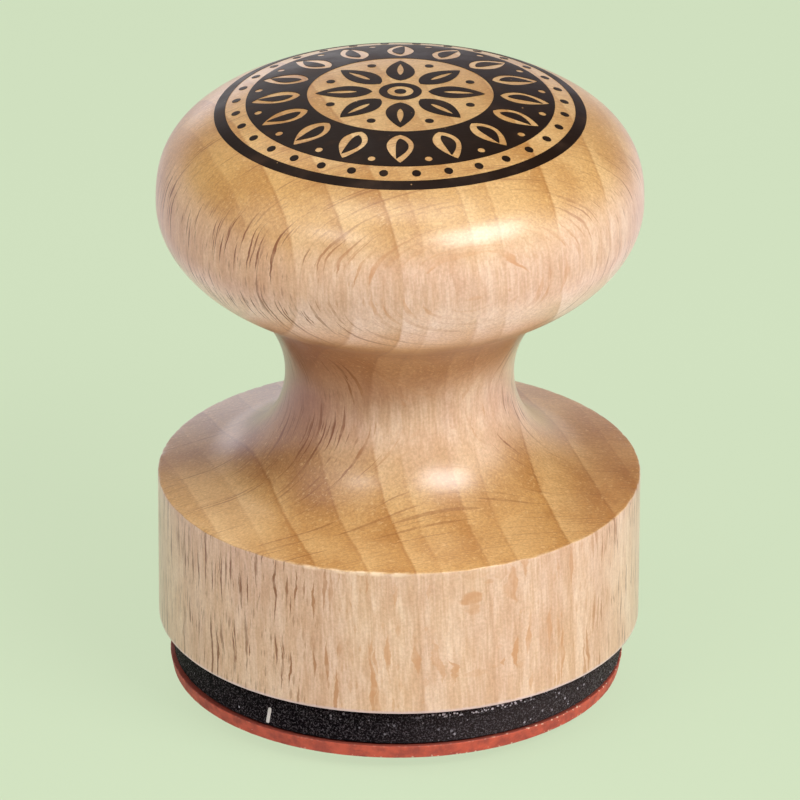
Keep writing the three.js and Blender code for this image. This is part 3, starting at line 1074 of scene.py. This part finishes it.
ink, wiring, shader, coordinates = new_material("black ink")
place_mm = in_mm(wiring, coordinates)
cloud = wiring.noise(place_mm, scale=0.35, detail=4.0, roughness=0.6)
colour = wiring.mix(wiring.fade(cloud, 0.5, 0.75, 0.0, 0.6), INK, INK_WORN)
pinholes = speckled(wiring, place_mm, spacing=0.9, kept=0.1, size=0.11)["Mask"]
colour = wiring.mix(wiring.times(pinholes, 0.85), colour, WOOD_SHOWING)
grain = wiring.place(grain_axes, {"Vector": place_mm})["Grain"]
strands = wiring.noise(grain, INK_STRANDS, detail=3.0)
inked = {
    "Base Color": colour,
    "Roughness": wiring.fade(cloud, 0.3, 0.7, 0.36, 0.48),
    "Specular IOR Level": 0.2,
    "Normal": wiring.bump(strands, strength=0.3, depth=0.02),
}
wiring.fill(shader, inked)
print("ink mixed")

# %% Press the rosette onto the dome
INK_LIFT = 0.03  # how far the ink stands above the wood
INK_ROOT = 0.03  # and how far it reaches under, so that no gap shows
SLICE = 0.5
ON_PLANE = 1e-9  # metres within which a point lies on a cutting plane
WELD = 1e-7  # metres within which two points are one
SHARP = math.radians(40)


def sliced(mesh, pitch, reach):
    """The mesh as a bmesh, cut along a square grid in X and Y."""
    cut = bmesh.new()
    cut.from_mesh(mesh)
    steps = int(reach / pitch)
    for axis in (Vector((1, 0, 0)), Vector((0, 1, 0))):
        for step in range(-steps, steps + 1):
            parts = [*cut.verts, *cut.edges, *cut.faces]
            at = axis * step * pitch * MM
            bmesh.ops.bisect_plane(cut, geom=parts, dist=ON_PLANE, plane_co=at, plane_no=axis)
    return cut


def press_on_dome(bm):
    """Bends a flat sheet over the dome and closes it with a second layer just under the wood."""
    bmesh.ops.remove_doubles(bm, verts=bm.verts, dist=WELD)
    bmesh.ops.triangulate(bm, faces=bm.faces)
    for vert in bm.verts:
        vert.co.z = (crown_height(math.hypot(vert.co.x, vert.co.y) / MM) - INK_ROOT) * MM
    bmesh.ops.recalc_face_normals(bm, faces=bm.faces)
    if sum(face.normal.z for face in bm.faces) > 0:
        bmesh.ops.reverse_faces(bm, faces=bm.faces)
    made = bmesh.ops.extrude_face_region(bm, geom=bm.faces[:], use_keep_orig=True)["geom"]
    for vert in (item for item in made if isinstance(item, bmesh.types.BMVert)):
        vert.co.z += (INK_LIFT + INK_ROOT) * MM
    bmesh.ops.recalc_face_normals(bm, faces=bm.faces)


flat_print = filled("flat print", outlines)
print_sheet = sliced(flat_print, SLICE, ROSETTE_RADIUS + SLICE)
press_on_dome(print_sheet)
print_mesh = bpy.data.meshes.new("dome print")
print_sheet.to_mesh(print_mesh)
print_sheet.free()
dome_print = finish_piece("dome_print", print_mesh, ink)
print_mesh.set_sharp_from_angle(angle=SHARP)
print("print has", len(print_mesh.polygons), "faces")

# %% [markdown]
# ## Adhesive films
#
# Two films of milky double-sided adhesive hold the stack together. Only their edges can be seen,
# so the measured discs stay as they are and get a material: milky, slightly yellow, with trapped
# air as paler blisters, and painted shade at the edge, for the dark line in the joints.

# %% Mix the film and dress the discs
FILM_MILK = srgb(206, 200, 182)
FILM_AIR = srgb(228, 225, 214)
FILM_EDGE_PAINTED_SHADE = srgb(48, 30, 28)
JOINT_SHADE_REACH = (FOAM_REACH - 1.2, FOAM_REACH - 0.8)  # distance from the axis over which the painted shade sets in

film, wiring, shader, coordinates = new_material("adhesive film")
place_mm = in_mm(wiring, coordinates)
blisters = speckled(wiring, place_mm, spacing=2.2, kept=0.5, size=0.35)["Mask"]
sides = wiring.apart(place_mm)
# Painted shade at the film's edge, for the dark line in the joints.
joint_shade = wiring.fade(wiring.distance(sides["X"], sides["Y"]), *JOINT_SHADE_REACH)
filmed = {
    "Base Color": wiring.mix(joint_shade, wiring.mix(blisters, FILM_MILK, FILM_AIR), FILM_EDGE_PAINTED_SHADE),
    "Roughness": wiring.fade(blisters, 0, 1, 0.32, 0.5),
    "Normal": wiring.bump(blisters, strength=0.4, depth=0.03),
}
wiring.fill(shader, filmed)
for name in ("die_adhesive_film", "cushion_adhesive_film"):
    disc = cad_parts[name]
    disc.data.materials.clear()
    disc.data.materials.append(film)
print("films dressed")

# %% [markdown]
# ## The foam cushion
#
# Closed-cell foam is punched from sheet, which opens thousands of tiny cells. Squeezed between its
# films it yields at the top, so its upper edge is round and its lower edge square. The larger
# unevenness is modelled in the mesh, with one point for every sixth of a millimetre, and the cells
# are a fine bump. Their hollows are matte and their walls shiny, so two shaders are mixed by the
# same pattern. Glints are painted on a few walls, most of them on the right, where a painted
# highlight also runs along the upper edge and the foam is painted a little lighter.

# %% Mix the foam's colour
FOAM_BLACK = srgb(8, 4, 8)
FOAM_GREY = srgb(106, 96, 102)
FOAM_PAINTED_GLINT = srgb(232, 226, 234)
FOAM_PAINTED_LIGHT = srgb(150, 134, 130)
GLINT_SIDE, GLINTS_KEPT = (-12, 8), (0.03, 0.09)
PAINTED_LIGHT_SIDE, MOST_PAINTED_LIGHT = (-6, 14), 0.09
EDGE_HIGHLIGHT_DOWN, EDGE_HIGHLIGHT_WIDTH = 0.78, 0.26  # the painted highlight's distance from the top, and its width
EDGE_HIGHLIGHT_SIDE, EDGE_HIGHLIGHT_REACH = 7.5, (2.5, 7)

foam, wiring, shader, coordinates = new_material("black foam")
place_mm = in_mm(wiring, coordinates)
rightward = wiring.apart(place_mm)["X"]
cells = wiring.noise(place_mm, scale=6.5, detail=3.0, roughness=0.8)
# Painted glints on a few cell walls, more of them on the right, where the light falls.
kept = wiring.fade(rightward, *GLINT_SIDE, *GLINTS_KEPT)
glints = speckled(wiring, place_mm, spacing=0.26, kept=kept, size=0.4)
# Painted highlight: a row of pale specks along the upper edge, on the right.
painted_edge_highlight = band(wiring, place_mm, FOAM_REACH, FOAM_HIGH - EDGE_HIGHLIGHT_DOWN, EDGE_HIGHLIGHT_WIDTH)
off_middle = wiring.math("ABSOLUTE", wiring.math("SUBTRACT", rightward, EDGE_HIGHLIGHT_SIDE))
painted_edge_highlight = wiring.times(painted_edge_highlight, wiring.fade(off_middle, *EDGE_HIGHLIGHT_REACH, 1, 0))
painted_edge_highlight = wiring.times(painted_edge_highlight, speckled(wiring, place_mm, spacing=0.2, kept=0.72, size=0.5)["Mask"])
painted_highlights = wiring.times(wiring.times(glints["Mask"], glints["Shade"]), 0.8)
painted_highlights = wiring.math("MAXIMUM", painted_highlights, painted_edge_highlight)
colour = wiring.mix(wiring.fade(cells, 0.5, 0.72), FOAM_BLACK, FOAM_GREY)
# Painted light: the foam turns lighter towards the right, where the light falls.
colour = wiring.mix(wiring.fade(rightward, *PAINTED_LIGHT_SIDE, 0, MOST_PAINTED_LIGHT), colour, FOAM_PAINTED_LIGHT)
colour = wiring.mix(painted_highlights, colour, FOAM_PAINTED_GLINT)
print("foam coloured")

# %% Mix the foam's matte hollows and shiny walls
FOAM_WALL = srgb(70, 62, 68)
SHINY_SIDE, SHINY_SHARES = (-15, 0), (0.36, 0.68)

dimples = wiring.math("ADD", cells, wiring.times(glints["Mask"], 0.5))
dimples = wiring.bump(dimples, strength=0.9, depth=0.08)
matte = {
    "Base Color": colour,
    "Roughness": wiring.fade(painted_highlights, 0, 1, 0.55, 0.2),
    "Specular IOR Level": 0.02,
    "Normal": dimples,
}
wiring.fill(shader, matte)
walls_colour = wiring.mix(painted_edge_highlight, FOAM_WALL, FOAM_PAINTED_GLINT)
shiny = {"Base Color": walls_colour, "Roughness": 0.28, "Normal": dimples}
walls = wiring.add("ShaderNodeBsdfPrincipled", shiny).outputs[0]
most = wiring.fade(rightward, *SHINY_SIDE, *SHINY_SHARES)
share = wiring.fade(cells, 0.5, 0.64, 0.0, most)
show(wiring, mixed_shaders(wiring, share, shader.outputs[0], walls))
print("foam mixed")

# %% Cut the cushion
FOAM_SHOULDER = 0.9
FOAM_EDGE = 0.1
FOAM_SEGMENTS = 720
FOAM_STEP = 0.16
FOAM_ROUGH = 0.035
FOAM_SET_IN = 0.8  # share of the roughness by which the side lies in on average
FOAM_ASIDE = -0.08  # the foam is stuck on by hand, a hair to the left


def disc_profile(radius, low, high, edge, shoulder, longest):
    """A flat disc with a small rounding on its lower edge and a rounding of its own above."""
    below = arc((radius - edge, low + edge), edge, -90, 0, steps=5)
    above = arc((radius - shoulder, high - shoulder), shoulder, 0, 90, steps=10)
    outline = spaced(below + above, longest)
    halfway = radius / 2
    return [(0, low), (halfway, low), *outline, (halfway, high), (0, high)]


def open_cells(point):
    """Pulls the foam's side in and out by a little, as the punch leaves it."""
    if math.hypot(point.x, point.y) < FOAM_REACH - FOAM_SHOULDER:
        return point
    rough = noise.noise(point * 2.6) + 0.7 * noise.noise(point * 6.1)
    return drawn_in(point, FOAM_ROUGH * (FOAM_SET_IN + rough))


foam_profile = disc_profile(FOAM_REACH, FOAM_LOW, FOAM_HIGH, FOAM_EDGE, FOAM_SHOULDER, FOAM_STEP)
foam_mesh = turned_mesh("foam", foam_profile, FOAM_SEGMENTS, open_cells)
cushion = finish_piece("cushion_of_foam", foam_mesh, foam, FOAM_ASIDE)
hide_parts("foam_cushion")
print("cushion has", len(foam_mesh.polygons), "faces")

# %% [markdown]
# ## The white tick on the foam
#
# A short white stroke of paint on the foam's side marks which way the print faces. It is a thin pad
# of paint that follows the foam's side and leans a little, as a hand-drawn stroke does.

# %% Mix the white paint
PAINT_WHITE = srgb(238, 235, 228)
PAINT_THIN = srgb(212, 208, 200)

paint, wiring, shader, coordinates = new_material("white paint")
brushed = wiring.noise(in_mm(wiring, coordinates), scale=5.0, detail=3.0)
painted = {
    "Base Color": wiring.mix(brushed, PAINT_WHITE, PAINT_THIN),
    "Roughness": wiring.fade(brushed, 0.3, 0.7, 0.45, 0.6),
    "Normal": wiring.bump(brushed, strength=0.4, depth=0.03),
}
wiring.fill(shader, painted)
print("white paint mixed")

# %% Paint the tick
TICK_ANGLE = 34.5  # degrees from the front towards the left
TICK_LOW, TICK_HIGH = 2.55, 4.15
TICK_WIDTH = 0.40
TICK_NARROW = 0.55  # share of the width that is left at the stroke's ends
TICK_LEAN = 0.30
TICK_PROUD = 0.05
TICK_ROOT = 0.08


def on_foam_side(sideways, height, proud):
    radius = FOAM_REACH - FOAM_ROUGH * FOAM_SET_IN + proud
    angle = -math.pi / 2 - math.radians(TICK_ANGLE) + sideways / radius
    return Vector((radius * math.cos(angle), radius * math.sin(angle), height)) * MM


def tick_mesh(columns=6, rows=16):
    """A grid of points over the stroke, proud of the foam in the middle and sunk at its edges."""
    tick = bmesh.new()
    layers = []
    for layer in range(2):
        grid = []
        for row in range(rows + 1):
            rise = row / rows
            for column in range(columns + 1):
                side = 2 * column / columns - 1
                round_end = math.sqrt(max(0.0, 1 - (2 * rise - 1) ** 8))
                width = TICK_NARROW + (1 - TICK_NARROW) * round_end
                across = side * TICK_WIDTH / 2 * width + TICK_LEAN * (rise - 0.5)
                edge = max(abs(side), abs(2 * rise - 1)) ** 6
                proud = TICK_PROUD * (1 - 1.6 * edge) if layer else -TICK_ROOT
                height = TICK_LOW + (TICK_HIGH - TICK_LOW) * rise
                grid.append(tick.verts.new(on_foam_side(across, height, proud)))
        layers.append(grid)
    count = columns + 1
    for row in range(rows):
        for column in range(columns):
            corner = row * count + column
            ring = (corner, corner + 1, corner + count + 1, corner + count)
            tick.faces.new([layers[1][i] for i in ring])
            tick.faces.new([layers[0][i] for i in reversed(ring)])
    bottom, top = list(range(count)), list(range(rows * count, (rows + 1) * count))
    left = [row * count for row in range(rows + 1)]
    right = [row * count + columns for row in range(rows + 1)]
    for border in (bottom, top, left, right):
        for first, second in zip(border, border[1:]):
            tick.faces.new([layers[0][first], layers[0][second], layers[1][second], layers[1][first]])
    bmesh.ops.recalc_face_normals(tick, faces=tick.faces)
    mesh = bpy.data.meshes.new("tick")
    tick.to_mesh(mesh)
    tick.free()
    return mesh


tick = finish_piece("white_tick", tick_mesh(), paint, FOAM_ASIDE)
print("tick is", round(TICK_HIGH - TICK_LOW, 2), "mm tall")

# %% [markdown]
# ## The rubber die
#
# Engraving rubber is a dense brick-red sheet. A laser burns the ground away and leaves the rosette
# standing, and the disc is then punched out, which leaves pale crumbs along both of its edges, most
# of them on the right. The disc is turned and the rosette is a plate from the same outlines, sunk a
# little into the disc.

# %% Mix the rubber
BRICK = srgb(203, 86, 58)
BRICK_DEEP = srgb(158, 66, 50)
CRUMB = srgb(232, 198, 170)
LIP_PAINTED_SHADE = srgb(128, 58, 46)
RELIEF_DEPTH = 1.1
DIE_FLOOR_LOW = DIE_LOW + RELIEF_DEPTH
DIE_TAPER = 0.25  # the punch leaves the lower edge this much smaller
LOW_WIDTH, LOW_SIDE, LOW_SHARES = 0.34, (-4, 8), (0.35, 1.0)  # of the crumbs on the lower edge
HIGH_WIDTH, HIGH_SIDE, HIGH_SHARES = 0.22, (6, 12), (0.12, 1.0)  # and on the upper edge

rubber, wiring, shader, coordinates = new_material("engraving rubber")
place_mm = in_mm(wiring, coordinates)
rightward = wiring.apart(place_mm)["X"]
below = band(wiring, place_mm, DIE_RADIUS - DIE_TAPER, DIE_FLOOR_LOW, LOW_WIDTH)
below = wiring.times(below, wiring.fade(rightward, *LOW_SIDE, *LOW_SHARES))
above = band(wiring, place_mm, DIE_RADIUS, DIE_HIGH, HIGH_WIDTH)
above = wiring.times(above, wiring.fade(rightward, *HIGH_SIDE, *HIGH_SHARES))
crumbs = speckled(wiring, place_mm, spacing=0.26, kept=0.5, size=0.42)["Mask"]
crumbs = wiring.times(crumbs, wiring.math("MAXIMUM", below, above))
dust = speckled(wiring, place_mm, spacing=0.7, kept=0.1, size=0.1)["Mask"]
cloud = wiring.noise(place_mm, scale=0.9, detail=4.0, roughness=0.6)
facing_up = wiring.apart(coordinates["Normal"])["Z"]
colour = wiring.mix(wiring.fade(cloud, 0.35, 0.7), BRICK, BRICK_DEEP)
# Painted shade on the die's upward-facing lip, under the foam's edge.
colour = wiring.mix(wiring.fade(facing_up, 0.4, 0.9, 0.0, 0.8), colour, LIP_PAINTED_SHADE)
colour = wiring.mix(crumbs, colour, CRUMB)
colour = wiring.mix(wiring.times(dust, 0.6), colour, CRUMB)
grit = wiring.noise(place_mm, scale=7.0, detail=3.0)
rubbery = {
    "Base Color": colour,
    "Roughness": wiring.fade(cloud, 0.3, 0.7, 0.55, 0.68),
    "Normal": wiring.bump(wiring.math("ADD", grit, crumbs), strength=0.5, depth=0.04),
}
wiring.fill(shader, rubbery)
print("rubber mixed")

# %% Cut and engrave the die
DIE_EDGE = 0.12
DIE_SEGMENTS = 480
DIE_STEP = 0.2  # longest stretch between two rings
DIE_ROUGH = 0.02
DIE_ASIDE = -0.2  # the die is stuck on by hand too
RELIEF_ROOT = 0.2  # how far the rosette is sunk into the disc
RELIEF_ROUND = 0.03


def punched(point):
    radius = math.hypot(point.x, point.y)
    taper = DIE_TAPER * (DIE_HIGH - point.z) / (DIE_HIGH - DIE_FLOOR_LOW)
    inward = DIE_ROUGH * (1 + noise.noise(point * 1.7) + 0.5 * noise.noise(point * 5.3)) + taper
    return drawn_in(point, inward * (radius / DIE_RADIUS))


die_profile = disc_profile(DIE_RADIUS, DIE_FLOOR_LOW, DIE_HIGH, DIE_EDGE, DIE_EDGE, DIE_STEP)
die_disc = turned_mesh("die disc", die_profile, DIE_SEGMENTS, punched)
relief_height = DIE_FLOOR_LOW + RELIEF_ROOT - DIE_LOW
relief = filled("relief", outlines, relief_height, RELIEF_ROUND)
relief.transform(Matrix.Translation((0, 0, (DIE_LOW + relief_height / 2) * MM)))
both = bmesh.new()
both.from_mesh(die_disc)
both.from_mesh(relief)
bmesh.ops.remove_doubles(both, verts=both.verts, dist=WELD)
bmesh.ops.recalc_face_normals(both, faces=both.faces)
die_mesh = bpy.data.meshes.new("die")
both.to_mesh(die_mesh)
both.free()
die = finish_piece("engraved_die", die_mesh, rubber, DIE_ASIDE)
die_mesh.set_sharp_from_angle(angle=SHARP)
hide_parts("rubber_die")
print("die has", len(die_mesh.polygons), "faces")
